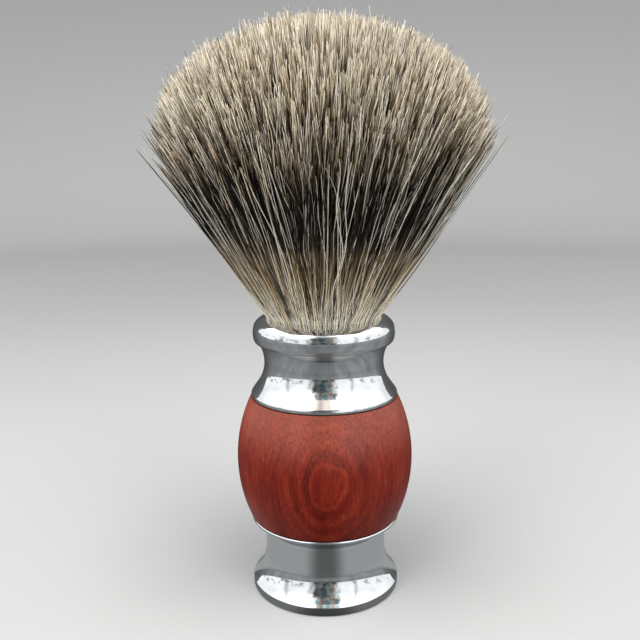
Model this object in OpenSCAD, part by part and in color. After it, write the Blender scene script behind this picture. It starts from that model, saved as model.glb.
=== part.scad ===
// Shaving brush: a fan of hair in a plated collar, a turned wooden barrel and a plated foot,
// drawn together by one threaded tie rod. The origin is the centre of the foot's bottom face.
// All sizes are in millimetres and +Z points to the tip of the hair.

/* [Foot] */
// Radius of the foot's outer band
foot_r = 14.1; // [14.0:0.1:14.8]
// Radius of the foot's straight neck
foot_neck_r = 11.5; // [11.2:0.1:11.6]
// Height of the lip that carries the barrel
foot_h = 14.64; // [14.4:0.02:15.4]
// Radius of the lip that carries the barrel
foot_lip_r = 14.1; // [14.0:0.1:14.4]

/* [Barrel] */
// Length of the wooden barrel
barrel_h = 23.13; // [22:0.01:24.5]
// Largest radius of the barrel
barrel_r = 16.6; // [16.2:0.1:18.0]
// Radius of the arc that shapes the barrel's side
barrel_arc_r = 27.3; // [26:0.1:32]
// Height of the widest place above the barrel's lower face
barrel_wide_h = 11.2; // [10.6:0.1:12.0]

/* [Collar] */
// Radius of the collar's skirt
skirt_r = 13.7; // [13.5:0.1:14.0]
// Radius of the collar's waist
waist_r = 11.15; // [11.0:0.05:11.3]
// Height of the straight land at the skirt's lower edge
skirt_land_h = 0.3; // [0.1:0.05:0.5]
// Largest radius of the bead round the mouth
bead_r = 13.2; // [13.0:0.1:13.5]
// Height of the bead's widest place above the skirt's lower edge
bead_h = 11.83; // [11.7:0.01:12.2]
// Radius of the socket for the knot
socket_r = 10.0; // [9.6:0.05:10.05]

/* [Hair] */
// Height of the fan's top above the foot
brush_h = 105.8; // [102:0.1:110]
// Largest radius of the fan
fan_r = 29.3; // [27:0.1:31]
// Height of the fan's widest place above the foot
fan_wide_z = 86.2; // [84:0.1:88]
// Radius of the fan's shoulder
fan_shoulder_r = 11; // [9:0.5:12]

/* [Tie rod] */
// Nominal radius of the tie rod's thread
rod_r = 3.0; // [2.5:0.5:3.0]
// Running gap round the rod in a tapped hole
thread_gap = 0.05; // [0.03:0.01:0.08]

/* [Hidden] */
$fn = 96;

// Foot
foot_edge_low_r = 0.6;
foot_edge_top_r = 0.25;
foot_flare_r = 8.3;
foot_edge_z = 1.61;
foot_tilt = 42;
foot_flare_z = foot_edge_z
    + flare_rise(foot_neck_r, foot_flare_r, foot_edge_top_r, foot_r, foot_tilt);
foot_cove_r = 2.4;
lip_edge_r = 0.37;
lip_under_z = foot_h - 2 * lip_edge_r;
cove_z = lip_under_z - foot_cove_r;
pad_recess_r = 11.4;
pad_recess_h = 1.5;
nut_pocket_r = 6.3;
nut_pocket_top_z = 8.0;
clearance_hole_r = rod_r + 0.2;
spigot_r = 6.0;
spigot_h = 3.0;

// Rubber pad in the foot
pad_r = 11.3;
pad_lift = 0.3;
pad_edge_r = 0.3;

// Gaskets, set a little inside the metal edges
gasket_h = 0.25;
gasket_r = 13.3;
gasket_hole_r = 6.2;

// Barrel
barrel_z = foot_h + gasket_h;
barrel_top_z = barrel_z + barrel_h;
barrel_wide_z = barrel_z + barrel_wide_h;
barrel_arc_x = barrel_r - barrel_arc_r;
barrel_bore_r = rod_r + 0.4;
counterbore_r = 6.1;
counterbore_h = 3.3;

// Collar
skirt_z = barrel_top_z + gasket_h;
waist_arc_r = 7.0;
skirt_edge_r = 0.8;
skirt_tilt = 36;
waist_z = skirt_z + skirt_land_h
    + flare_rise(waist_r, waist_arc_r, skirt_edge_r, skirt_r, skirt_tilt);
bead_z = skirt_z + bead_h;
bead_arc_r = 5.0;
bead_low_angle = 12;
bead_low_r = 1.1;
bead_low = [bead_r - bead_arc_r, bead_z]
    + (bead_arc_r - bead_low_r) * [cos(bead_low_angle), -sin(bead_low_angle)];
bead_corner_angle = 14;
bead_corner_r = 1.7;
bead_corner = [bead_r - bead_arc_r, bead_z]
    + (bead_arc_r - bead_corner_r) * [cos(bead_corner_angle), sin(bead_corner_angle)];
bead_crown_angle = 40;
bead_crown_r = 3.6;
bead_crown = bead_corner
    - (bead_crown_r - bead_corner_r) * [cos(bead_crown_angle), sin(bead_crown_angle)];
collar_top_z = bead_crown[1] + bead_crown_r;
mouth_r = socket_r + 0.8;
mouth_z = collar_top_z - 2.0;
socket_floor_z = waist_z - 2.1;
tapped_top_z = socket_floor_z - 1.5;

// Knot
adhesive_gap = 0.2;
plug_r = socket_r - adhesive_gap;
plug_z = socket_floor_z + 0.3;
plug_top_z = plug_z + 6.9;
adhesive_top_z = plug_top_z - 0.6;
groove_depth = 0.5;
groove_z = plug_z + 1.5;
groove_h = 3.2;
thread_r = 0.22;
thread_turns = 7;
thread_sleeve_r = plug_r - groove_depth + 0.12;

// Hair
hair_gap = 0.1;
hair_z = plug_top_z + hair_gap;
hair_root_r = plug_r - 0.1;
throat_hair_r = socket_r - 0.2;
lip_hair_r = mouth_r - 0.15;
lip_hair_z = collar_top_z + 0.05;
shoulder_x = fan_r - fan_shoulder_r;
lip_to_shoulder = [shoulder_x - lip_hair_r, fan_wide_z - lip_hair_z];
fan_side_tilt = atan(lip_to_shoulder[0] / lip_to_shoulder[1])
    + asin(fan_shoulder_r / norm(lip_to_shoulder));
crown_rise = brush_h - fan_wide_z;
crown_r = (pow(shoulder_x, 2) + pow(crown_rise, 2) - pow(fan_shoulder_r, 2))
    / (2 * (crown_rise - fan_shoulder_r));
crown_z = brush_h - crown_r;
crown_reach = 2.5;

// Fasteners
nut_flats = rod_r * 10 / 3;
nut_h = rod_r * 5 / 3;
nut_corner_r = nut_flats / 2 / cos(30);
nut_chamfer = 0.5;
washer_h = 1.0;
washer_r = rod_r * 5 / 3;
washer_split_w = 0.8;
washer_hole_r = rod_r + 0.1;
rod_chamfer = 0.6;
rod_z = 2.1;
rod_top_z = tapped_top_z - 0.6;
// How far sections that are joined run into each other
overlap = 0.5;

chrome = [0.80, 0.81, 0.83];
wood_red = [0.55, 0.20, 0.14];
dark_fibre = [0.09, 0.08, 0.08];
rubber_black = [0.06, 0.06, 0.06];
zinc_steel = [0.62, 0.62, 0.60];
resin_amber = [0.72, 0.60, 0.38];
thread_white = [0.86, 0.84, 0.78];
adhesive_clear = [0.82, 0.82, 0.76];
hair_tan = [0.55, 0.47, 0.36];

// Length of the straight cone between the concave arc and the rounded edge of a flare
function flare_run(neck_r, arc_r, edge_r, rim_r, tilt) =
    (rim_r - neck_r - (arc_r + edge_r) * (1 - cos(tilt))) / sin(tilt);

// Height from the centre of a flare's rounded edge up to its waist
function flare_rise(neck_r, arc_r, edge_r, rim_r, tilt) =
    (arc_r + edge_r) * sin(tilt) + flare_run(neck_r, arc_r, edge_r, rim_r, tilt) * cos(tilt);

// Half section of a flare that runs from a waist out to a rim: a concave arc, which goes on
// past the waist up to top_z, a straight cone, a rounded edge and a straight land.
module flare_section(neck_r, neck_z, arc_r, edge_r, rim_r, rim_z, tilt, top_z) {
    arc_end = [neck_r + arc_r * (1 - cos(tilt)), neck_z - arc_r * sin(tilt)];
    cone_end = arc_end + flare_run(neck_r, arc_r, edge_r, rim_r, tilt) * [sin(tilt), -cos(tilt)];
    edge_at = [rim_r - edge_r, cone_end[1] - edge_r * sin(tilt)];
    translate([0, rim_z])
        square([rim_r, edge_at[1] - rim_z]);
    intersection() {
        translate(edge_at)
            circle(edge_r);
        translate([0, rim_z])
            square(rim_r);
    }
    polygon([[0, rim_z], [edge_at[0], rim_z], edge_at, cone_end, arc_end, [0, arc_end[1]]]);
    difference() {
        translate([0, arc_end[1] - overlap])
            square([arc_end[0], top_z - arc_end[1] + overlap]);
        translate([neck_r + arc_r, neck_z])
            circle(arc_r);
    }
}

// Half section of the foot below its neck, with the lower edge rounded off
module foot_rim_section() {
    difference() {
        flare_section(foot_neck_r, foot_flare_z, foot_flare_r, foot_edge_top_r,
            foot_r, 0, foot_tilt, foot_flare_z);
        translate([foot_r - foot_edge_low_r, 0])
            square([2 * foot_edge_low_r, foot_edge_low_r]);
    }
    translate([foot_r - foot_edge_low_r, foot_edge_low_r])
        circle(foot_edge_low_r);
}

// Half section of the lip under the barrel, with its rounded edge and the cove below it
module foot_lip_section() {
    translate([0, lip_under_z])
        square([foot_lip_r - lip_edge_r, 2 * lip_edge_r]);
    translate([foot_lip_r - lip_edge_r, lip_under_z + lip_edge_r])
        circle(lip_edge_r);
    difference() {
        translate([0, cove_z])
            square([foot_lip_r - lip_edge_r, lip_under_z - cove_z + lip_edge_r]);
        translate([foot_neck_r + foot_cove_r, cove_z])
            circle(foot_cove_r);
    }
}

// Plated foot: band, flare, straight neck, lip and the spigot that centres the barrel
module base() {
    color(chrome)
    difference() {
        rotate_extrude() {
            foot_rim_section();
            translate([0, foot_flare_z - overlap])
                square([foot_neck_r, cove_z - foot_flare_z + 2 * overlap]);
            foot_lip_section();
            translate([0, foot_h - overlap])
                square([spigot_r, spigot_h + overlap]);
        }
        translate([0, 0, -1])
            cylinder(r = pad_recess_r, h = pad_recess_h + 1);
        cylinder(r = nut_pocket_r, h = nut_pocket_top_z);
        cylinder(r = clearance_hole_r, h = foot_h + spigot_h + 1);
    }
}

// Solid rubber disc in the foot's recess, held clear of the surface that the rim stands on
module base_pad() {
    color(rubber_black)
    rotate_extrude() {
        translate([0, pad_lift])
            square([pad_r - pad_edge_r, pad_recess_h - pad_lift]);
        translate([0, pad_lift + pad_edge_r])
            square([pad_r, pad_recess_h - pad_lift - pad_edge_r]);
        translate([pad_r - pad_edge_r, pad_lift + pad_edge_r])
            circle(pad_edge_r);
    }
}

// Hexagon nut with chamfered corners at both ends
module clamp_nut() {
    nut_z = nut_pocket_top_z - washer_h - nut_h;
    color(zinc_steel)
    translate([0, 0, nut_z])
    difference() {
        intersection() {
            cylinder(r = nut_corner_r, h = nut_h, $fn = 6);
            rotate_extrude()
                polygon([[0, 0], [nut_flats / 2, 0], [nut_corner_r + overlap, nut_chamfer],
                    [nut_corner_r + overlap, nut_h - nut_chamfer], [nut_flats / 2, nut_h], [0, nut_h]]);
        }
        translate([0, 0, -1])
            cylinder(r = rod_r + thread_gap, h = nut_h + 2);
    }
}

// Split lock washer between the nut and the roof of its pocket
module lock_washer() {
    color(zinc_steel)
    translate([0, 0, nut_pocket_top_z - washer_h])
    difference() {
        cylinder(r = washer_r, h = washer_h);
        translate([0, 0, -1])
            cylinder(r = washer_hole_r, h = washer_h + 2);
        translate([0, -washer_split_w / 2, -1])
            cube([washer_r + 1, washer_split_w, washer_h + 2]);
    }
}

// Tie rod with chamfered ends
module tie_rod() {
    rod_h = rod_top_z - rod_z;
    color(zinc_steel)
    translate([0, 0, rod_z])
    rotate_extrude()
        polygon([[0, 0], [rod_r - rod_chamfer, 0], [rod_r, rod_chamfer],
            [rod_r, rod_h - rod_chamfer], [rod_r - rod_chamfer, rod_h], [0, rod_h]]);
}

// Thin flat gasket ring
module gasket(z) {
    color(dark_fibre)
    translate([0, 0, z])
    difference() {
        cylinder(r = gasket_r, h = gasket_h);
        translate([0, 0, -1])
            cylinder(r = gasket_hole_r, h = gasket_h + 2);
    }
}

// Gasket between the foot and the barrel
module base_gasket() {
    gasket(foot_h);
}

// Gasket between the barrel and the collar
module collar_gasket() {
    gasket(barrel_top_z);
}

// Turned wooden barrel with a rod bore and a counterbore for a spigot at each end
module barrel() {
    color(wood_red)
    difference() {
        rotate_extrude()
        intersection() {
            translate([barrel_arc_x, barrel_wide_z])
                circle(barrel_arc_r);
            translate([0, barrel_z])
                square([barrel_r + 1, barrel_h]);
        }
        translate([0, 0, barrel_z - 1])
            cylinder(r = barrel_bore_r, h = barrel_h + 2);
        translate([0, 0, barrel_z - 1])
            cylinder(r = counterbore_r, h = counterbore_h + 1);
        translate([0, 0, barrel_top_z - counterbore_h])
            cylinder(r = counterbore_r, h = counterbore_h + 1);
    }
}

// Half section of the bead: a tight lower arc, a shallow outer arc, a corner arc and a crown
// arc that falls away from the mouth, each one tangent to the next.
module bead_section() {
    bead_at = [bead_r - bead_arc_r, bead_z];
    reach = 2 * bead_arc_r;
    translate(bead_low)
        circle(bead_low_r);
    intersection() {
        translate(bead_at)
            circle(bead_arc_r);
        polygon([bead_at, bead_at + reach * [cos(bead_low_angle), -sin(bead_low_angle)],
            bead_at + reach * [cos(bead_corner_angle), sin(bead_corner_angle)]]);
    }
    translate(bead_corner)
        circle(bead_corner_r);
    intersection() {
        translate(bead_crown)
            circle(bead_crown_r);
        polygon([bead_crown, bead_crown + reach * [cos(bead_crown_angle), sin(bead_crown_angle)],
            [0, bead_crown[1] + reach], [0, bead_crown[1]]]);
    }
    polygon([[0, bead_low[1] - bead_low_r], [bead_low[0], bead_low[1] - bead_low_r],
        bead_low, bead_corner, [bead_crown[0], mouth_z], [0, mouth_z]]);
}

// Plated collar: skirt, waist, bead, knot socket, spigot and tapped hole
module collar() {
    color(chrome)
    difference() {
        rotate_extrude() {
            flare_section(waist_r, waist_z, waist_arc_r, skirt_edge_r,
                skirt_r, skirt_z, skirt_tilt, bead_low[1]);
            bead_section();
            translate([0, skirt_z - spigot_h])
                square([spigot_r, spigot_h + overlap]);
        }
        translate([0, 0, socket_floor_z])
            cylinder(r = socket_r, h = collar_top_z - socket_floor_z + 1);
        translate([0, 0, mouth_z])
            cylinder(r1 = socket_r, r2 = mouth_r, h = collar_top_z - mouth_z);
        translate([0, 0, skirt_z - spigot_h - 1])
            cylinder(r = rod_r + thread_gap, h = tapped_top_z - skirt_z + spigot_h + 1);
    }
}

// Adhesive cup that beds the knot in its socket
module setting_adhesive() {
    color(adhesive_clear)
    difference() {
        translate([0, 0, socket_floor_z])
            cylinder(r = socket_r, h = adhesive_top_z - socket_floor_z);
        translate([0, 0, plug_z])
            cylinder(r = plug_r, h = adhesive_top_z - plug_z + 1);
    }
}

// Cast resin plug that holds the hair roots, with a groove for the binding
module knot_plug() {
    color(resin_amber)
    difference() {
        translate([0, 0, plug_z])
            cylinder(r = plug_r, h = plug_top_z - plug_z);
        translate([0, 0, groove_z])
        difference() {
            cylinder(r = plug_r + 1, h = groove_h);
            cylinder(r = plug_r - groove_depth, h = groove_h);
        }
    }
}

// Thread wound round the roots: a thin sleeve with one round turn above another
module knot_binding() {
    pitch = (groove_h - 2 * thread_r) / (thread_turns - 1);
    color(thread_white)
    rotate_extrude() {
        translate([plug_r - groove_depth, groove_z])
            square([thread_sleeve_r - plug_r + groove_depth, groove_h]);
        for (turn = [0 : thread_turns - 1])
            translate([plug_r - groove_depth + thread_r, groove_z + thread_r + turn * pitch])
                circle(thread_r);
    }
}

// Outer shape of the fan of hair: throat, straight sides, rounded shoulder and crown
module hair_knot() {
    side_end = [shoulder_x + fan_shoulder_r * cos(fan_side_tilt),
        fan_wide_z - fan_shoulder_r * sin(fan_side_tilt)];
    color(hair_tan)
    rotate_extrude() {
        polygon([[0, hair_z], [hair_root_r, hair_z], [throat_hair_r, mouth_z],
            [lip_hair_r, lip_hair_z], side_end, [shoulder_x, fan_wide_z], [0, fan_wide_z]]);
        translate([shoulder_x, fan_wide_z])
            circle(fan_shoulder_r);
        intersection() {
            translate([0, crown_z])
                circle(crown_r);
            polygon([[0, crown_z], crown_reach * [shoulder_x, fan_wide_z - crown_z] + [0, crown_z],
                [0, brush_h + crown_r]]);
        }
    }
}

base();
base_pad();
clamp_nut();
lock_washer();
tie_rod();
base_gasket();
barrel();
collar_gasket();
collar();
setting_adhesive();
knot_plug();
knot_binding();
hair_knot();
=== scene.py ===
"""Shaving brush: banded hair knot, plated collar, turned red wood barrel and plated foot."""
import math

import bpy
import numpy as np
from mathutils import Matrix, Vector


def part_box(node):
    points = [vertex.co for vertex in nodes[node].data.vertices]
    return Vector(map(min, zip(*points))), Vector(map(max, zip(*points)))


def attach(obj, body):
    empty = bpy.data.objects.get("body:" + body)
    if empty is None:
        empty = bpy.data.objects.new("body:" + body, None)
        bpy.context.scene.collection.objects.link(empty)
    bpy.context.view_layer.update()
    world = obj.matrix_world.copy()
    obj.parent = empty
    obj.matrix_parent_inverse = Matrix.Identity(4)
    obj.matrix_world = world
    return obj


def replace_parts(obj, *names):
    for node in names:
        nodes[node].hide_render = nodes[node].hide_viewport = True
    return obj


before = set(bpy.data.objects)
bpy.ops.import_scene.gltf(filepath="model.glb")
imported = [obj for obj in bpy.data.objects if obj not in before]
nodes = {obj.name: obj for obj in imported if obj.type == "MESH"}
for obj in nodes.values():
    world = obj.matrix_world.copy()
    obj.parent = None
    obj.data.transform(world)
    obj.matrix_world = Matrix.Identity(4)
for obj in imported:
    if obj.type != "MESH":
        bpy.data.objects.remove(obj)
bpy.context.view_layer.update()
SEED = 20
rng = np.random.default_rng(SEED)
MM = 0.001  # metres in a millimetre
TURN = 2 * math.pi


# ---------------------------------------------------------------- shader helpers
class Shader:
    """A material with one Principled shader and short calls for the nodes that feed it."""

    def __init__(self, name, **plain):
        self.material = bpy.data.materials.new(name)
        self.material.use_nodes = True
        self.tree = self.material.node_tree
        self.bsdf = self.tree.nodes["Principled BSDF"]
        for key, value in plain.items():
            self.bsdf.inputs[key.replace("_", " ")].default_value = value

    def feed(self, socket, value):
        """Links a socket to another one, or sets its value."""
        if isinstance(value, bpy.types.NodeSocket):
            self.tree.links.new(value, socket)
        else:
            socket.default_value = value

    def math(self, operation, *values):
        """One sum on numbers or sockets."""
        node = self.tree.nodes.new("ShaderNodeMath")
        node.operation = operation
        for socket, value in zip(node.inputs, values):
            self.feed(socket, value)
        return node.outputs[0]

    def position(self):
        """The point's place in the object's own frame, in millimetres."""
        coords = self.tree.nodes.new("ShaderNodeTexCoord")
        node = self.tree.nodes.new("ShaderNodeVectorMath")
        node.operation = "SCALE"
        self.feed(node.inputs[0], coords.outputs["Object"])
        node.inputs["Scale"].default_value = 1000.0
        return node.outputs[0]

    def stretch(self, vector, factors):
        """Scales a place along each axis, so that a factor under 1 draws grain out along it."""
        node = self.tree.nodes.new("ShaderNodeVectorMath")
        node.operation = "MULTIPLY"
        self.feed(node.inputs[0], vector)
        node.inputs[1].default_value = factors
        return node.outputs[0]

    def split(self, vector):
        node = self.tree.nodes.new("ShaderNodeSeparateXYZ")
        self.feed(node.inputs[0], vector)
        return node.outputs[0], node.outputs[1], node.outputs[2]

    def join(self, x, y, z):
        node = self.tree.nodes.new("ShaderNodeCombineXYZ")
        for socket, value in zip(node.inputs, (x, y, z)):
            self.feed(socket, value)
        return node.outputs[0]

    def noise(self, vector, scale, detail=2.0, roughness=0.5):
        """Smooth chance values about 1 / scale apart, in the place's own units."""
        node = self.tree.nodes.new("ShaderNodeTexNoise")
        self.feed(node.inputs["Vector"], vector)
        node.inputs["Scale"].default_value = scale
        node.inputs["Detail"].default_value = detail
        node.inputs["Roughness"].default_value = roughness
        return node.outputs[0]

    def random(self, number):
        """A random value from 0 to 1 for each whole number."""
        node = self.tree.nodes.new("ShaderNodeTexWhiteNoise")
        node.noise_dimensions = "1D"
        self.feed(node.inputs["W"], number)
        return node.outputs[0]

    def span(self, value, low, high, to_low=0.0, to_high=1.0):
        """Takes low to high onto to_low to to_high, held at both ends."""
        node = self.tree.nodes.new("ShaderNodeMapRange")
        node.interpolation_type = "SMOOTHSTEP"
        for socket, number in zip(node.inputs, (value, low, high, to_low, to_high)):
            self.feed(socket, number)
        return node.outputs[0]

    def ramp(self, value, stops):
        """A colour from (value, colour) stops."""
        node = self.tree.nodes.new("ShaderNodeValToRGB")
        self.feed(node.inputs[0], value)
        elements = node.color_ramp.elements
        elements[0].position, elements[0].color = stops[0][0], (*stops[0][1], 1.0)
        elements[1].position, elements[1].color = stops[-1][0], (*stops[-1][1], 1.0)
        for place, colour in stops[1:-1]:
            elements.new(place).color = (*colour, 1.0)
        return node.outputs[0]

    def mix(self, factor, a, b, blend="MIX"):
        node = self.tree.nodes.new("ShaderNodeMix")
        node.data_type = "RGBA"
        node.blend_type = blend
        for index, value in ((0, factor), (6, a), (7, b)):
            if isinstance(value, tuple):
                value = (*value, 1.0)
            self.feed(node.inputs[index], value)
        return node.outputs[2]

    def bump(self, height, strength, distance_mm):
        node = self.tree.nodes.new("ShaderNodeBump")
        node.inputs["Strength"].default_value = strength
        node.inputs["Distance"].default_value = distance_mm * MM
        self.feed(node.inputs["Height"], height)
        self.feed(self.bsdf.inputs["Normal"], node.outputs[0])

    def set(self, name, value):
        """Feeds one input of the material's own shader."""
        self.feed(self.bsdf.inputs[name], value)


def radius_of(shader, x, y):
    """The distance from the vertical axis."""
    squares = shader.math("ADD", shader.math("MULTIPLY", x, x), shader.math("MULTIPLY", y, y))
    return shader.math("SQRT", squares)


def bearing_of(shader, x, y):
    """The direction round the vertical axis in degrees, 0 at -Y and 90 at +X."""
    angle = shader.math("ARCTAN2", x, shader.math("MULTIPLY", y, -1.0))
    return shader.math("MULTIPLY", angle, 180 / math.pi)


# ---------------------------------------------------------------- metals
NECK_LOW, NECK_HIGH = 6.4, 11.6  # the foot's brushed band, in millimetres above the floor
MARKS_PER_MM = 9.0


def plated(name, brushed_from=None, brushed_to=None):
    """Polished plating with mottled colour and smeared roughness, and a brushed band with turning
    marks between two heights.
    """
    s = Shader(name, Metallic=1.0)
    place = s.position()
    x, y, z = s.split(place)
    r = radius_of(s, x, y)
    cloud = s.noise(place, 0.35, 3.0)
    smear = s.noise(s.stretch(place, (1.0, 1.0, 3.0)), 1.1, 4.0, 0.6)
    turned = s.join(s.math("MULTIPLY", r, MARKS_PER_MM), 0.0, s.math("MULTIPLY", z, MARKS_PER_MM))
    marks = s.noise(turned, 1.0, 3.0, 0.7)
    bright = s.mix(cloud, (0.80, 0.81, 0.83), (0.86, 0.87, 0.88))
    rough = s.math("ADD", 0.045, s.math("MULTIPLY", s.span(smear, 0.45, 0.75), 0.05))
    if brushed_from is not None:
        band = s.math("MULTIPLY", s.span(z, brushed_from - 0.5, brushed_from + 0.5),
                      s.span(z, brushed_to + 0.5, brushed_to - 0.5))
        grey = s.mix(marks, (0.68, 0.70, 0.71), (0.88, 0.90, 0.91))
        bright = s.mix(band, bright, grey)
        lines = s.math("ADD", 0.07, s.math("MULTIPLY", marks, 0.12))
        rough = s.math("ADD", s.math("MULTIPLY", band, lines),
                       s.math("MULTIPLY", s.math("SUBTRACT", 1.0, band), rough))
        s.bump(s.math("MULTIPLY", marks, band), 0.35, 0.02)
    s.set("Base Color", bright)
    s.set("Roughness", rough)
    return s.material


def zinc_steel():
    """Zinc plated steel with a faint mottle."""
    s = Shader("zinc_steel", Metallic=1.0)
    place = s.position()
    mottle = s.noise(place, 1.4, 4.0, 0.6)
    s.set("Base Color", s.mix(mottle, (0.42, 0.42, 0.40), (0.66, 0.66, 0.62)))
    s.set("Roughness", s.math("ADD", 0.25, s.math("MULTIPLY", mottle, 0.2)))
    return s.material


# ---------------------------------------------------------------- wood
BARREL_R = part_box("barrel")[1].x / MM
BARREL_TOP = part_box("barrel")[1].z / MM
GRAIN_SLOPE = 0.054  # how far the growth layers lean along X
GRAIN_CUP = 0.0073  # how far they cup, per millimetre
FINE_LAYER = 0.27  # depth of one fine growth layer, in millimetres
HEART_RING = 0.34  # depth below the bulge of the pale oval, in millimetres


def red_wood():
    """Flat-sawn red wood: growth layers cut by the barrel's bulge, pores, a satin finish, and
    painted sheen on the shoulder and flanks.
    """
    s = Shader("red_wood", Specular_IOR_Level=0.28)
    place = s.position()
    x, y, z = s.split(place)
    # The depth of a point below the bulge's front face says which growth layer it cuts.
    slow = s.noise(s.stretch(place, (1.0, 1.0, 0.35)), 0.16, 3.0, 0.55)
    wander = s.noise(s.stretch(place, (1.0, 1.0, 0.3)), 0.6, 3.0, 0.6)
    drop = s.math("SUBTRACT", BARREL_R, s.math("SUBTRACT", s.math("MULTIPLY", x, GRAIN_SLOPE), y))
    drop = s.math("ADD", drop, s.math("MULTIPLY", s.math("MULTIPLY", x, x), GRAIN_CUP))
    drop = s.math("ADD", drop, s.math("MULTIPLY", s.math("SUBTRACT", slow, 0.5), 0.9))
    drop = s.math("ADD", drop, s.math("MULTIPLY", s.math("SUBTRACT", wander, 0.5), 0.28))
    # Broad layers a millimetre deep carry fine ones, patches and fibres. The layers fade
    # away from the front, where the cut runs across them.
    broad = s.math("SINE", s.math("MULTIPLY", s.math("ADD", drop, 0.16), TURN))
    fine = s.math("SINE", s.math("MULTIPLY", drop, TURN / FINE_LAYER))
    heart = s.span(drop, 0.4, 3.0, 1.0, 0.45)
    layer = s.math("ADD", s.math("MULTIPLY", s.math("MULTIPLY", broad, heart), 0.13),
                   s.math("MULTIPLY", fine, 0.035))
    from_ring = s.math("ABSOLUTE", s.math("SUBTRACT", drop, HEART_RING))
    layer = s.math("ADD", s.math("ADD", layer, s.span(from_ring, 0.02, 0.10, 0.17, 0.0)), 0.5)
    patch = s.noise(s.stretch(place, (1.0, 1.0, 0.25)), 0.33, 3.0, 0.6)
    layer = s.math("ADD", layer, s.math("MULTIPLY", s.math("SUBTRACT", patch, 0.5), 0.9))
    fibre = s.noise(s.stretch(place, (1.0, 1.0, 0.06)), 4.5, 3.0, 0.65)
    layer = s.math("ADD", layer, s.math("MULTIPLY", s.math("SUBTRACT", fibre, 0.5), 0.7))
    colour = s.ramp(layer, [
        (0.05, (0.048, 0.003, 0.002)), (0.30, (0.090, 0.005, 0.002)),
        (0.55, (0.142, 0.011, 0.004)), (0.80, (0.204, 0.021, 0.008)),
        (1.00, (0.280, 0.042, 0.018))])
    # Painted sheen: the shoulder is painted lighter where the light from above catches it, and the
    # flanks are painted a little lighter too.
    painted_top_sheen = s.math("MULTIPLY", s.span(z, BARREL_TOP - 11.0, BARREL_TOP - 1.0), 0.30)
    painted_top_sheen = s.math("MULTIPLY", painted_top_sheen, s.span(fibre, 0.25, 0.75, 0.5, 1.3))
    colour = s.mix(painted_top_sheen, colour, (0.500, 0.155, 0.105))
    # Painted light: the flanks along X are painted lighter.
    side = s.span(s.math("ABSOLUTE", x), 7.0, 18.0, 0.0, 0.90)
    colour = s.mix(side, colour, s.mix(1.0, colour, (1.45, 1.35, 1.25), "MULTIPLY"))
    # Dark open pores and a few pale ones, drawn out along the grain.
    pore = s.span(s.noise(s.stretch(place, (1.0, 1.0, 0.16)), 3.4, 1.0), 0.63, 0.72)
    dash = s.span(s.noise(s.stretch(place, (1.0, 1.0, 0.14)), 5.2, 1.0), 0.66, 0.72)
    colour = s.mix(s.math("MULTIPLY", pore, 0.55), colour, (0.060, 0.008, 0.006))
    colour = s.mix(s.math("MULTIPLY", dash, 0.10), colour, (0.620, 0.240, 0.150))
    s.set("Base Color", colour)
    s.set("Roughness", s.math("ADD", 0.30, s.math("MULTIPLY", fibre, 0.18)))
    s.bump(s.math("SUBTRACT", s.math("MULTIPLY", fibre, 0.5), pore), 0.45, 0.03)
    return s.material


# ---------------------------------------------------------------- small inner pieces
def mottled(name, low, high, scale, rough_low, rough_high, bump_mm=0.02, factors=(1, 1, 1)):
    """A plain material with grain of the given scale in its colour, roughness and relief."""
    s = Shader(name)
    grain = s.noise(s.stretch(s.position(), factors), scale, 5.0, 0.65)
    s.set("Base Color", s.mix(grain, low, high))
    s.set("Roughness", s.span(grain, 0.2, 0.8, rough_low, rough_high))
    s.bump(grain, 0.4, bump_mm)
    return s.material


def paint(node, material):
    """Gives a CAD node its material."""
    data = nodes[node].data
    data.materials.clear()
    data.materials.append(material)


steel = zinc_steel()
gasket = mottled("fibre", (0.012, 0.010, 0.010), (0.035, 0.030, 0.028), 6.0, 0.7, 0.9)
paint("base", plated("plated_foot", brushed_from=NECK_LOW, brushed_to=NECK_HIGH))
paint("collar", plated("plated_collar"))
paint("barrel", red_wood())
paint("base_pad", mottled("rubber", (0.012, 0.012, 0.012), (0.030, 0.030, 0.029), 3.0, 0.6, 0.85))
paint("clamp_nut", steel)
paint("lock_washer", steel)
paint("tie_rod", steel)
paint("base_gasket", gasket)
paint("collar_gasket", gasket)
paint("setting_adhesive",
      mottled("adhesive", (0.50, 0.49, 0.40), (0.62, 0.61, 0.52), 0.9, 0.25, 0.5))
paint("knot_plug", mottled("resin", (0.36, 0.22, 0.08), (0.52, 0.36, 0.16), 0.7, 0.15, 0.35))
paint("knot_binding",
      mottled("thread", (0.55, 0.52, 0.44), (0.75, 0.72, 0.64), 5.0, 0.7, 0.9, 0.03, (1, 1, 3)))


# ---------------------------------------------------------------- hair
# Lengths are in millimetres. The fan is widest at WIDE_Z, and its crown is half an ellipse above.
knot_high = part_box("hair_knot")[1]
FAN_R = knot_high.x / MM
CROWN = 19.6
WIDE_Z = knot_high.z / MM - CROWN
LIP_Z, LIP_R = 53.2, 10.60  # where the hair leaves the collar
ROOT_Z, ROOT_R = 49.95, 9.55  # where it starts, inside the collar
TIP_MAX = math.radians(99)  # the lowest tips' angle from the top

# The colour map has one strip for each of COLUMNS kinds of hair: first the pale ones, then those
# with dark tips, then the banded ones.
COLUMNS = 256
PALE_COLUMNS = 56
DARK_COLUMNS = 40
ROOT_SCALE, TIP_SCALE = 40.0, 35.0  # lengths of hair that the whole map would cover
ROOT_SHARE, TIP_SHARE = 0.40, 0.60  # where the root's part of the map ends and the tip's begins
ROOT_SPAN = ROOT_SHARE * ROOT_SCALE

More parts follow.
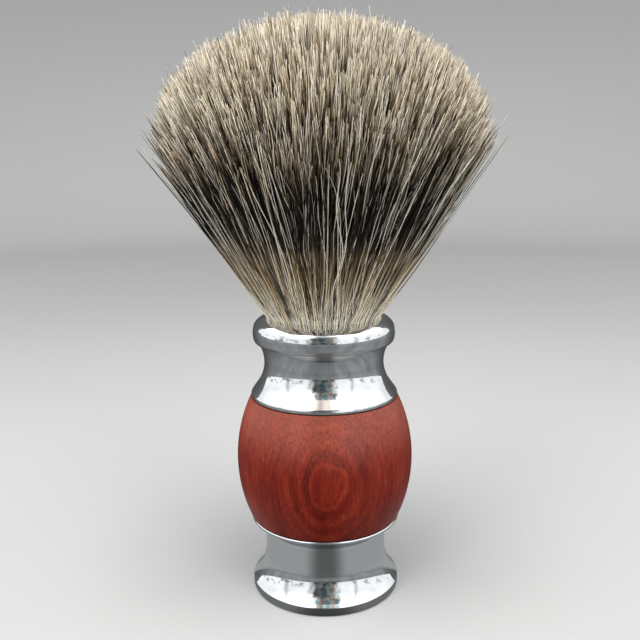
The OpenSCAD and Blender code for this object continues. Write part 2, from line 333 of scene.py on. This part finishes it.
TUFTS, TUFT_PULL = 2200, 0.55
STRAYS = 260
OUTER_HAIRS, OUTER_FROM = 1800, 0.80  # in each of three pieces, from this share of the radius
CROWN_HAIRS, CROWN_TO, CROWN_DEPTH = 5600, 0.83, 14.0
WILD_SHARE = 0.16  # hairs that wander round the fan
SPLAY_SHARE = 0.12  # edge hairs that stand out from it
SHORT_SHARE, SHORTEST = 0.35, 6.0  # hairs that end deeper, and how much deeper
SHORTEST_CROWN = 5.5
EDGE_FROM, EDGE_SPAN = 1.2, 0.5  # tip angles, in radians, over which the fan's edge begins
WAVY_SHARE = 0.45
TAPER = 3.5  # length of the pointed tip
HAIR_THIN, HAIR_THICK = 0.10, 0.20


def hair_material():
    """Banded hair, coloured from each hair's own strip of the OFBake map: u picks the strip's
    chance values, and v runs from the root to the tip."""
    s = Shader("hair", Roughness=0.34, Specular_IOR_Level=0.48)
    uv = s.tree.nodes.new("ShaderNodeUVMap")
    uv.uv_map = "OFBake"
    u, v, _ = s.split(uv.outputs[0])
    strip = s.math("FLOOR", s.math("MULTIPLY", u, float(COLUMNS)))
    first = s.random(s.math("ADD", strip, 0.5))
    second = s.random(s.math("ADD", strip, 1000.5))
    third = s.random(s.math("ADD", strip, 2000.5))
    shifted = s.math("ADD", v, s.math("MULTIPLY", s.math("SUBTRACT", first, 0.5), 0.15))
    # Pale root, long dark band and pale tip.
    banded = s.ramp(shifted, [
        (0.00, (0.930, 0.880, 0.750)), (0.08, (0.880, 0.810, 0.650)),
        (0.16, (0.790, 0.680, 0.500)), (0.25, (0.630, 0.490, 0.310)),
        (0.34, (0.380, 0.270, 0.158)), (0.41, (0.160, 0.108, 0.064)),
        (0.48, (0.018, 0.012, 0.008)), (0.83, (0.014, 0.009, 0.005)),
        (0.88, (0.055, 0.035, 0.017)), (0.915, (0.200, 0.138, 0.072)),
        (0.95, (0.440, 0.352, 0.235)), (1.00, (0.620, 0.545, 0.430))])
    # Hairs with no band.
    pale = s.ramp(shifted, [
        (0.00, (0.940, 0.890, 0.770)), (0.15, (0.920, 0.850, 0.710)),
        (0.35, (0.820, 0.760, 0.640)), (0.50, (0.680, 0.635, 0.545)),
        (0.75, (0.680, 0.635, 0.545)), (0.85, (0.780, 0.725, 0.620)),
        (0.93, (0.740, 0.680, 0.570)), (1.00, (0.620, 0.555, 0.445))])
    # Some banded hairs keep a dark tip, and some hairs of every kind are painted dark near the
    # root, as painted shade for the gaps between strands.
    dark_tip = s.math("MULTIPLY", s.math("LESS_THAN", strip, float(PALE_COLUMNS + DARK_COLUMNS)),
                      s.span(v, 0.84, 0.92, 0.0, 0.85))
    banded = s.mix(dark_tip, banded, (0.080, 0.050, 0.026))
    is_pale = s.math("LESS_THAN", strip, float(PALE_COLUMNS))
    colour = s.mix(is_pale, banded, pale)
    painted_root_shade = s.math("MULTIPLY", s.math("LESS_THAN", second, 0.30),
                       s.math("MULTIPLY", s.span(v, 0.0, 0.07, 0.35, 0.92),
                              s.span(v, 0.30, 0.50, 1.0, 0.0)))
    colour = s.mix(painted_root_shade, colour, (0.050, 0.028, 0.014))
    # A few hairs are golden, and each has its own tone and faint streaks along it.
    golden = s.math("MULTIPLY", s.math("GREATER_THAN", second, 0.86), 0.45)
    colour = s.mix(golden, colour, s.mix(1.0, colour, (1.05, 0.86, 0.52), "MULTIPLY"))
    least = s.math("MAXIMUM", s.span(v, 0.05, 0.25, 0.80, 0.45), s.math("MULTIPLY", is_pale, 0.82))
    tone = s.span(third, 0.0, 1.0, least, 1.18)
    streak = s.noise(s.join(s.math("MULTIPLY", strip, 7.3), s.math("MULTIPLY", v, 22.0), 0.0),
                     1.0, 2.0)
    tone = s.math("MULTIPLY", tone, s.span(streak, 0.2, 0.8, 0.86, 1.14))
    colour = s.mix(1.0, colour, s.join(tone, tone, tone), "MULTIPLY")
    s.set("Base Color", colour)
    return s.material


def new_object(name, vertices, faces, uvs, material):
    """A smooth triangle or quad mesh from numpy arrays, riding on the root body."""
    mesh = bpy.data.meshes.new(name)
    count, size = faces.shape
    mesh.vertices.add(len(vertices))
    mesh.vertices.foreach_set("co", (vertices * MM).astype(np.float32).ravel())
    mesh.loops.add(count * size)
    mesh.loops.foreach_set("vertex_index", faces.astype(np.int32).ravel())
    mesh.polygons.add(count)
    mesh.polygons.foreach_set("loop_start", np.arange(0, count * size, size, dtype=np.int32))
    mesh.update(calc_edges=True)
    mesh.polygons.foreach_set("use_smooth", np.ones(count, bool))
    if uvs is not None:
        layer = mesh.uv_layers.new(name="OFBake")
        layer.data.foreach_set("uv", uvs[faces.ravel()].astype(np.float32).ravel())
    mesh.materials.append(material)
    mesh.validate()
    obj = bpy.data.objects.new(name, mesh)
    bpy.context.scene.collection.objects.link(obj)
    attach(obj, "root")
    return obj


def tubes(name, lines, widths, along, columns, material):
    """Three-sided tapered tubes round centre lines of shape (hairs, rings, 3)."""
    hairs, rings, _ = lines.shape
    tangent = np.gradient(lines, axis=1)
    tangent /= np.linalg.norm(tangent, axis=2, keepdims=True)
    guide = rng.normal(size=(hairs, 1, 3))
    side = np.cross(tangent, np.broadcast_to(guide, tangent.shape))
    side /= np.linalg.norm(side, axis=2, keepdims=True)
    other = np.cross(tangent, side)
    corners = []
    for corner in range(3):
        turn = TURN * corner / 3
        corners.append(lines + widths[..., None] / 2 * (side * math.cos(turn)
                                                        + other * math.sin(turn)))
    vertices = np.stack(corners, axis=2).reshape(-1, 3)
    base = (np.arange(hairs)[:, None, None] * rings + np.arange(rings - 1)[None, :, None]) * 3
    corner = np.arange(3)[None, None, :]
    following = (corner + 1) % 3
    low_a, low_b = base + corner, base + following
    high_a, high_b = low_a + 3, low_b + 3
    sides = np.concatenate([np.stack([low_a, low_b, high_b], -1).reshape(-1, 3),
                            np.stack([low_a, high_b, high_a], -1).reshape(-1, 3)])
    end = (np.arange(hairs) * rings + rings - 1) * 3
    start = np.arange(hairs) * rings * 3
    faces = np.concatenate([sides, np.stack([end, end + 1, end + 2], -1),
                            np.stack([start, start + 2, start + 1], -1)])
    across = np.array([0.2, 0.8, 0.5])
    u = (columns[:, None, None] + across[None, None, :]) / COLUMNS
    v = 0.004 + 0.992 * along
    uvs = np.stack([np.broadcast_to(u, (hairs, rings, 3)),
                    np.broadcast_to(v[..., None], (hairs, rings, 3))], -1).reshape(-1, 2)
    return new_object(name, vertices, faces, uvs, material)


def strand_map(from_root, to_tip, tip_scale=TIP_SCALE):
    """Where a point lies on a hair's colour strip, from its distances to the lip and the tip."""
    from_root = np.maximum(from_root, 0.0)
    tip_span = (1 - TIP_SHARE) * tip_scale
    middle = np.maximum(from_root + to_tip - ROOT_SPAN - tip_span, 0.1)
    by_middle = ROOT_SHARE + (TIP_SHARE - ROOT_SHARE) * (from_root - ROOT_SPAN) / middle
    by_root = from_root / ROOT_SCALE
    by_tip = 1.0 - to_tip / tip_scale
    return np.where(to_tip < tip_span, by_tip, np.where(from_root < ROOT_SPAN, by_root, by_middle))


def fan(share, theta, spin, wild):
    """Lip points and tip points of hairs, from their share of the knot's radius and their
    tip's angle from the top."""
    lip = np.stack([share * LIP_R * np.cos(spin), share * LIP_R * np.sin(spin),
                    np.full_like(share, LIP_Z)], -1)
    root = np.stack([share * ROOT_R * np.cos(spin), share * ROOT_R * np.sin(spin),
                     np.full_like(share, ROOT_Z)], -1)
    tip_spin = spin + rng.normal(0, 0.055, len(spin)) / np.maximum(np.sin(theta), 0.25)
    tip_spin += wild * rng.normal(0, 0.12, len(spin))
    tip_r = FAN_R * np.sin(theta)
    tip = np.stack([tip_r * np.cos(tip_spin), tip_r * np.sin(tip_spin),
                    WIDE_Z + CROWN * np.cos(theta)], -1)
    return root, lip, tip


def gather(tips, centres, pull, batch=2000):
    """Draws each tip part of the way to its nearest centre, so that tips stand in tufts.
    Returns the new tips and the number of each one's tuft."""
    out = tips.copy()
    tuft = np.zeros(len(tips), int)
    for low in range(0, len(tips), batch):
        rows = slice(low, low + batch)
        gap = ((tips[rows, None, :] - centres[None, :, :]) ** 2).sum(-1)
        tuft[rows] = gap.argmin(1)
        out[rows] = tips[rows] + (centres[tuft[rows]] - tips[rows]) * pull[rows, None]
    return out, tuft


def dome_points(count):
    """Points spread evenly over the fan's crown."""
    theta = np.arccos(1 - rng.random(count) * (1 - math.cos(TIP_MAX)))
    spin = rng.random(count) * TURN
    return np.stack([FAN_R * np.sin(theta) * np.cos(spin), FAN_R * np.sin(theta) * np.sin(spin),
                     WIDE_Z + CROWN * np.cos(theta)], -1)


def directions(spin):
    """Unit vectors away from the axis and round it."""
    flat = np.zeros(len(spin))
    return (np.stack([np.cos(spin), np.sin(spin), flat], -1),
            np.stack([-np.sin(spin), np.cos(spin), flat], -1))


def curve(lip, bend, tip, t):
    """Quadratic curves from lip to tip, drawn towards the bend points."""
    t = t[..., None]
    return lip[:, None] * (1 - t) ** 2 + 2 * bend[:, None] * t * (1 - t) + tip[:, None] * t ** 2


def add_root(root, line, t):
    """Puts each hair's root, hidden in the collar, before its curve."""
    below = np.full((len(root), 1), -0.06)
    return np.concatenate([root[:, None], line], axis=1), np.concatenate([below, t], axis=1)


def hairs(name, count, share_low, share_high, rings, start_depth, material, tufts):
    """Part of the knot: hairs whose roots lie between two shares of the knot's radius.
    With a start depth they begin that far below their tips."""
    part = share_low ** 2 + rng.random(count) * (share_high ** 2 - share_low ** 2)
    theta = np.arccos(1 - part * (1 - math.cos(TIP_MAX)))
    theta = np.clip(theta + rng.normal(0, 0.05, count), 0.0, TIP_MAX + 0.10)
    share = np.clip(np.sqrt(part) + rng.normal(0, 0.02, count), 0.0, 1.0)
    spin = rng.random(count) * TURN
    wild = (rng.random(count) < WILD_SHARE).astype(float)
    root, lip, tip = fan(share, theta, spin, wild)
    tip, tuft = gather(tip, tufts, rng.uniform(0.0, TUFT_PULL, count))
    outward, around = directions(spin)
    # Tufts at the fan's edge lean in or out, and a few of their hairs stand out further.
    edge = np.clip((theta - EDGE_FROM) / EDGE_SPAN, 0.0, 1.0)
    splay = (rng.random(count) < SPLAY_SHARE) * rng.exponential(0.8, count).clip(0.0, 2.4)
    tip = tip + outward * ((tuft_lean[tuft] + splay) * edge)[:, None]
    aim = tip - lip
    length = np.linalg.norm(aim, axis=1, keepdims=True)
    aim /= length
    # Tips end at uneven heights, each tuft with its own, and more so at the edge.
    reach = rng.normal(-0.5, 0.5, count) * (1 + 1.3 * edge)
    reach += tuft_reach[tuft] * (0.35 + 1.1 * edge)
    shortest = SHORTEST_CROWN if start_depth else SHORTEST
    reach -= (rng.random(count) < SHORT_SHARE) * rng.random(count) * shortest
    reach += (rng.random(count) < 0.04) * rng.exponential(0.5, count)
    tip = tip + aim * reach[:, None]
    # Pale hairs lie outermost and curve more.
    is_pale = rng.random(count) < 0.22 + 0.14 * np.cos(spin) ** 2
    sag = rng.normal(0, 0.65, count) - 0.8 * share ** 2 + 0.5 * is_pale
    sag += (rng.random(count) < 0.12) * rng.uniform(0.4, 2.2, count)
    sway = rng.normal(0, 0.9, count) * (1 + 1.2 * wild + 0.9 * is_pale)
    bend = (lip + tip) / 2 + outward * sag[:, None] + around * sway[:, None]
    length = np.linalg.norm(tip - lip, axis=1)
    if start_depth is None:
        t = np.linspace(0.0, 1.0, rings - 1) ** 0.9
        t = np.broadcast_to(t, (count, rings - 1))
    else:
        first = 1.0 - start_depth / length
        t = first[:, None] + (1 - first[:, None]) * np.linspace(0.0, 1.0, rings)[None, :]
    line = curve(lip, bend, tip, t)
    wavy = rng.random(count) < WAVY_SHARE
    wave = np.where(wavy, rng.uniform(0.10, 0.34, count), 0.04)[:, None]
    wave = wave * (1 + 0.8 * is_pale[:, None])
    phase = rng.random(count)[:, None] * TURN
    pitch = rng.uniform(10.0, 20.0, count)[:, None] * (1 + 0.5 * is_pale[:, None])
    swing = wave * np.sin(phase + t * length[:, None] * TURN / pitch) * np.minimum(4 * t, 1)
    line = line + around[:, None] * swing[..., None]
    if start_depth is None:
        line, t = add_root(root, line, t)
    from_root = t * length[:, None]
    to_tip = (1 - t) * length[:, None]
    along = strand_map(from_root, to_tip, TIP_SCALE * (0.9 + 0.9 * (1 - share[:, None] ** 2)))
    taper = np.clip(to_tip / TAPER, 0.0, 1.0)
    thick = rng.uniform(HAIR_THIN, HAIR_THICK, count)[:, None]
    thick = thick * np.where(is_pale, 0.80, 1.05)[:, None]
    widths = thick * (0.50 + 0.50 * taper) * np.clip(0.85 + from_root / 60.0, 0.8, 1.1)
    is_dark = rng.random(count) < 0.08 + 0.42 * edge
    banded = np.where(is_dark, rng.integers(PALE_COLUMNS, PALE_COLUMNS + DARK_COLUMNS, count),
                      rng.integers(PALE_COLUMNS + DARK_COLUMNS, COLUMNS, count))
    columns = np.where(is_pale, rng.integers(0, PALE_COLUMNS, count), banded)
    return tubes(name, line, widths, along, columns, material)


def strays(name, count, material):
    """A few hairs that stand away from the fan's side and edge."""
    spin = rng.random(count) * TURN
    share = rng.uniform(0.95, 1.0, count)
    theta = rng.uniform(math.radians(88), TIP_MAX, count)
    root, lip, tip = fan(share, theta, spin, np.ones(count))
    outward, around = directions(spin)
    short = rng.random(count) < 0.15
    cut = np.where(short, rng.uniform(0.45, 0.80, count), rng.uniform(0.80, 1.02, count))
    tip = lip + (tip - lip) * cut[:, None]
    away = 0.3 + rng.exponential(0.8, count).clip(0.0, 3.2)
    tip += outward * away[:, None] + around * rng.normal(0, 1.5, count)[:, None]
    bend = (lip + tip) / 2 - outward * rng.uniform(-0.5, 1.2, count)[:, None]
    t = np.broadcast_to(np.linspace(0, 1, 17), (count, 17))
    line, t = add_root(root, curve(lip, bend, tip, t), t)
    length = np.linalg.norm(tip - lip, axis=1)[:, None]
    along = strand_map(t * length, (1 - t) * length)
    widths = 0.13 * (0.35 + 0.65 * np.clip((1 - t) * length / 6.0, 0, 1))
    return tubes(name, line, widths, along, rng.integers(0, COLUMNS, count), material)


def core_material():
    """Dark underhair, browner near the tips: partly the hairs' own dark band and partly painted
    shade for the gaps between the tips.
    """
    s = Shader("hair_core")
    place = s.position()
    grain = s.noise(s.stretch(place, (1, 1, 0.1)), 1.6, 5.0, 0.65)
    _, _, z = s.split(place)
    # Painted shade: these colours also stand in for the shade seen between the tips.
    dark = s.mix(grain, (0.008, 0.005, 0.003), (0.045, 0.028, 0.014))
    brown = s.mix(grain, (0.060, 0.042, 0.024), (0.200, 0.150, 0.095))
    s.set("Base Color", s.mix(s.span(z, WIDE_Z - 2.0, WIDE_Z + 8.0), dark, brown))
    s.set("Roughness", s.span(grain, 0.2, 0.8, 0.7, 0.9))
    s.bump(grain, 0.4, 0.1)
    return s.material


def core(name, material):
    """The dense dark middle of the knot, well inside the tips."""
    angle = np.linspace(0, math.radians(100), 24)
    core_r = 0.86 * 0.92 * FAN_R
    outline = [(core_r * math.sin(a), WIDE_Z - 6.0 + (CROWN - 4.0) * math.cos(a)) for a in angle]
    outline += [(0.80 * LIP_R, LIP_Z + 1.0), (0.80 * ROOT_R, ROOT_Z + 0.2), (0.0, ROOT_Z + 0.2)]
    rings = outline[1:-1]
    turns = 72
    points, faces = [], []
    for r, z in rings:
        for k in range(turns):
            a = TURN * k / turns
            ripple = 1.0 + 0.012 * math.sin(17 * a) + 0.010 * math.sin(31 * a + 1.0)
            points.append((r * ripple * math.cos(a), r * ripple * math.sin(a), z))
    for ring in range(len(rings) - 1):
        for k in range(turns):
            low, high = ring * turns + k, ring * turns + (k + 1) % turns
            faces += [(low, low + turns, high + turns), (low, high + turns, high)]
    top, bottom = len(points), len(points) + 1
    points += [(0.0, 0.0, outline[0][1]), (0.0, 0.0, outline[-1][1])]
    last = (len(rings) - 1) * turns
    for k in range(turns):
        following = (k + 1) % turns
        faces += [(top, k, following), (last + k, bottom, last + following)]
    return new_object(name, np.array(points), np.array(faces), None, material)


hair = hair_material()
tufts = dome_points(TUFTS)
tuft_lean = rng.normal(0.1, 0.8, len(tufts))
tuft_reach = rng.normal(0.0, 0.7, len(tufts))
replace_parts(core("hair_core", core_material()), "hair_knot")
PART = 1.0
for number in (1, 2, 3):
    hairs(f"outer_hair_{number}", int(OUTER_HAIRS * PART), OUTER_FROM, 1.0, 18, None, hair, tufts)
for number in (1, 2, 3):
    hairs(f"crown_hair_{number}", int(CROWN_HAIRS * PART), 0.0, CROWN_TO, 6, CROWN_DEPTH, hair,
          tufts)
strays("stray_hair", STRAYS, hair)


# ---------------------------------------------------------------- studio
# The heights and bearings in the light wall's material are in millimetres and degrees.
WALL_R, WALL_FOOT = 0.55, 0.05  # the light wall's radius and the height of its centre, in metres
WALL_HALF_SWEEP = math.radians(128)
WALL_LOW, WALL_HIGH = -3, 64  # elevations of its edges, in degrees
FLOOR_R, BOWL_R = 0.6, 0.3  # the flat floor's radius and the bend up to the backdrop
BACKDROP_TOP = 1.2
SHADE_R, SHADE_Z = 0.046, -0.0002
LAMP_SPREAD = math.radians(120)
BLACK = (0.0, 0.0, 0.0, 1.0)


def turned_sheet(name, outline, material, start=0.0, sweep=TURN, turns=96):
    """A surface turned about the vertical axis from (radius, height) points in metres."""
    points, faces = [], []
    closed = sweep >= TURN
    steps = turns if closed else turns + 1
    for r, z in outline:
        for k in range(steps):
            a = start + sweep * k / turns
            points.append((r * math.sin(a), -r * math.cos(a), z))
    for ring in range(len(outline) - 1):
        for k in range(turns):
            low, high = ring * steps + k, ring * steps + (k + 1) % steps
            faces.append((low, high, high + steps, low + steps))
    mesh = bpy.data.meshes.new(name)
    mesh.from_pydata(points, [], faces)
    mesh.polygons.foreach_set("use_smooth", [True] * len(faces))
    mesh.materials.append(material)
    obj = bpy.data.objects.new(name, mesh)
    bpy.context.scene.collection.objects.link(obj)
    return obj


def light_wall_material():
    """White light, brighter above, with a dim mottled gap at the front, marks near its lower
    edge and two faint upright bars."""
    s = Shader("light_wall", Roughness=1.0)
    place = s.position()
    x, y, z = s.split(place)
    bearing = bearing_of(s, x, y)
    tone = s.span(s.noise(place, 0.004, 0.0), 0.3, 0.7, 0.86, 1.06)
    tone = s.math("MULTIPLY", tone, s.span(z, 220.0, 440.0, 1.1, 2.5))
    # The gap, with blurred patches in it and an uneven edge.
    clutter = s.noise(s.stretch(place, (1.0, 1.0, 0.6)), 0.011, 1.0)
    gap = s.math("MULTIPLY", s.span(z, 380.0, 540.0, 0.10, 0.26),
                 s.span(clutter, 0.35, 0.65, 0.6, 2.0))
    away = s.math("ADD", s.math("ABSOLUTE", s.math("ADD", bearing, 1.0)),
                  s.math("MULTIPLY", s.math("SUBTRACT", clutter, 0.5), 22.0))
    wall = s.span(away, 16.0, 30.0)
    dimmed = s.math("MULTIPLY", gap, s.math("SUBTRACT", 1.0, wall))
    tone = s.math("MULTIPLY", tone, s.math("ADD", dimmed, wall))
    warmth = s.span(s.noise(place, 0.010, 0.0), 0.40, 0.60)
    tint = s.mix(wall, s.mix(warmth, (0.66, 0.92, 1.0), (1.0, 0.90, 0.80)), (0.965, 0.99, 1.0))
    # Faint marks near the wall's lower edge, and the two bars.
    marks = s.span(s.noise(s.stretch(place, (1.0, 1.0, 1.4)), 0.009, 1.0), 0.54, 0.62)
    marks = s.math("MULTIPLY", marks, s.span(z, 60.0, 170.0, 0.60, 0.0))
    tone = s.math("MULTIPLY", tone, s.math("SUBTRACT", 1.0, marks))
    for middle, width in ((-70.0, 7.0), (52.0, 6.0)):
        away = s.math("ABSOLUTE", s.math("SUBTRACT", bearing, middle))
        tone = s.math("MULTIPLY", tone, s.span(away, 0.0, width, 0.6, 1.0))
    s.set("Base Color", BLACK)
    s.set("Emission Color", tint)
    s.set("Emission Strength", tone)
    return s.material


def floor_paper_material():
    """Pale paper, painted lighter away from the brush as painted light on the backdrop, where less
    light reaches it.
    """
    s = Shader("floor_paper", Roughness=0.9)
    east, north, _ = s.split(s.position())
    paler = s.span(radius_of(s, east, north), 250.0, 850.0)
    s.set("Base Color", s.mix(paler, (0.45, 0.448, 0.44), (0.80, 0.797, 0.785)))
    return s.material


def near_shade_material():
    """What the chrome sees of the floor close by: dark at the foot and at the front."""
    s = Shader("near_shade", Roughness=1.0)
    east, north, _ = s.split(s.position())
    flank = s.span(s.math("ABSOLUTE", bearing_of(s, east, north)), 8.0, 36.0, 0.30, 1.1)
    away = radius_of(s, east, north)
    tone = s.math("MULTIPLY", s.span(away, 16.0, 22.0, 0.13, 0.31),
                  s.span(away, 32.0, 46.0, 1.0, 0.56))
    s.set("Base Color", BLACK)
    s.set("Emission Color", (0.97, 1.0, 1.0, 1.0))
    s.set("Emission Strength", s.math("MULTIPLY", tone, flank))
    return s.material


bowl_bend = [(FLOOR_R + BOWL_R * math.sin(a), BOWL_R - BOWL_R * math.cos(a))
             for a in np.linspace(0, math.pi / 2, 16)]
floor_outline = [(0.0, 0.0), (0.05, 0.0), (0.3, 0.0)] + bowl_bend
floor_outline.append((FLOOR_R + BOWL_R, BACKDROP_TOP))
floor = turned_sheet("floor", floor_outline, floor_paper_material())
floor.visible_glossy = False
floor.visible_diffuse = False

shade = turned_sheet("foot_shade", [(0.0, SHADE_Z), (SHADE_R, SHADE_Z)], near_shade_material())
shade.visible_camera = False
shade.visible_diffuse = False
shade.visible_shadow = False

wall_outline = [(WALL_R * math.cos(e), WALL_FOOT + WALL_R * math.sin(e))
                for e in np.radians(np.linspace(WALL_LOW, WALL_HIGH, 12))]
light_wall = turned_sheet("light_wall", wall_outline, light_wall_material(),
                          start=-WALL_HALF_SWEEP, sweep=2 * WALL_HALF_SWEEP)
light_wall.visible_camera = False


def lamp(name, place, target_z, size, watts):
    """A round soft light aimed at a height on the axis. It shows in no reflection."""
    data = bpy.data.lights.new(name, "AREA")
    data.shape = "DISK"
    data.size = size
    data.energy = watts
    data.spread = LAMP_SPREAD
    obj = bpy.data.objects.new(name, data)
    aim = Vector((0.0, 0.0, target_z)) - Vector(place)
    obj.location = place
    obj.rotation_mode = "QUATERNION"
    obj.rotation_quaternion = aim.to_track_quat("-Z", "Y")
    obj.visible_camera = False
    obj.visible_glossy = False
    bpy.context.scene.collection.objects.link(obj)


lamp("light_top", (0.0, -0.10, 0.70), 0.08, 0.35, 1.2)
lamp("light_high_left", (-0.13, -0.17, 0.45), 0.06, 0.20, 0.15)
lamp("light_high_right", (0.12, -0.17, 0.45), 0.06, 0.20, 0.11)
lamp("light_low_left", (-0.26, -0.36, 0.12), 0.06, 0.25, 0.40)
lamp("light_low_right", (0.24, -0.37, 0.12), 0.06, 0.25, 0.33)


class Sky(Shader):
    """The same short calls for the world's own nodes."""

    def __init__(self, world):
        self.tree = world.node_tree


def light_world():
    """A grey surround, darker at the front and behind, with soft upright columns."""
    world = bpy.data.worlds.new("studio")
    bpy.context.scene.world = world
    world.use_nodes = True
    s = Sky(world)
    toward = s.tree.nodes.new("ShaderNodeTexCoord").outputs["Generated"]
    east, north, up = s.split(toward)
    bearing = bearing_of(s, east, north)
    tone = s.ramp(s.math("MULTIPLY_ADD", up, 0.5, 0.5), [
        (0.10, (0.200, 0.206, 0.210)), (0.28, (0.235, 0.242, 0.247)),
        (0.37, (0.210, 0.217, 0.222)), (0.45, (0.260, 0.266, 0.270)),
        (0.53, (0.220, 0.223, 0.226)), (0.80, (0.360, 0.360, 0.360)),
        (1.00, (0.450, 0.450, 0.450))])
    turned = s.math("ABSOLUTE", bearing)
    above = s.span(up, -0.05, 0.05)
    front = s.math("SUBTRACT", 0.80, s.math("MULTIPLY", above, 0.60))
    flank = s.span(turned, 8.0, 36.0, front, 1.15)
    flank = s.math("MULTIPLY", flank, s.span(turned, 100.0, 150.0, 1.0, 0.35))
    columns = s.noise(s.join(s.math("MULTIPLY", bearing, 0.05), up, 0.0), 1.0, 3.0, 0.6)
    dim = s.math("MULTIPLY", flank, s.span(columns, 0.3, 0.7, 0.80, 1.20))
    tone = s.mix(1.0, tone, s.join(dim, dim, dim), "MULTIPLY")
    background = s.tree.nodes["Background"]
    s.feed(background.inputs["Color"], tone)
    background.inputs["Strength"].default_value = 1.0


light_world()

# ---------------------------------------------------------------- camera
CAMERA_PLACE = (-0.00067, -0.1453, 0.08184)  # metres
CAMERA_DOWN = math.radians(11.54)
CAMERA_ROLL = math.radians(-0.52)
LENS_MM, SENSOR_MM = 44.95, 36.0


def place_camera():
    """The camera looks along +Y and a little down."""
    lens = bpy.data.cameras.new("camera")
    lens.sensor_width = SENSOR_MM
    lens.lens = LENS_MM
    lens.clip_start = 0.005
    lens.clip_end = 10.0
    camera = bpy.data.objects.new("camera", lens)
    bpy.context.scene.collection.objects.link(camera)
    camera.matrix_world = (Matrix.Translation(CAMERA_PLACE)
                           @ Matrix.Rotation(math.pi / 2 - CAMERA_DOWN, 4, "X")
                           @ Matrix.Rotation(CAMERA_ROLL, 4, "Z"))
    bpy.context.scene.camera = camera


place_camera()
bpy.context.scene.view_settings.view_transform = "Standard"
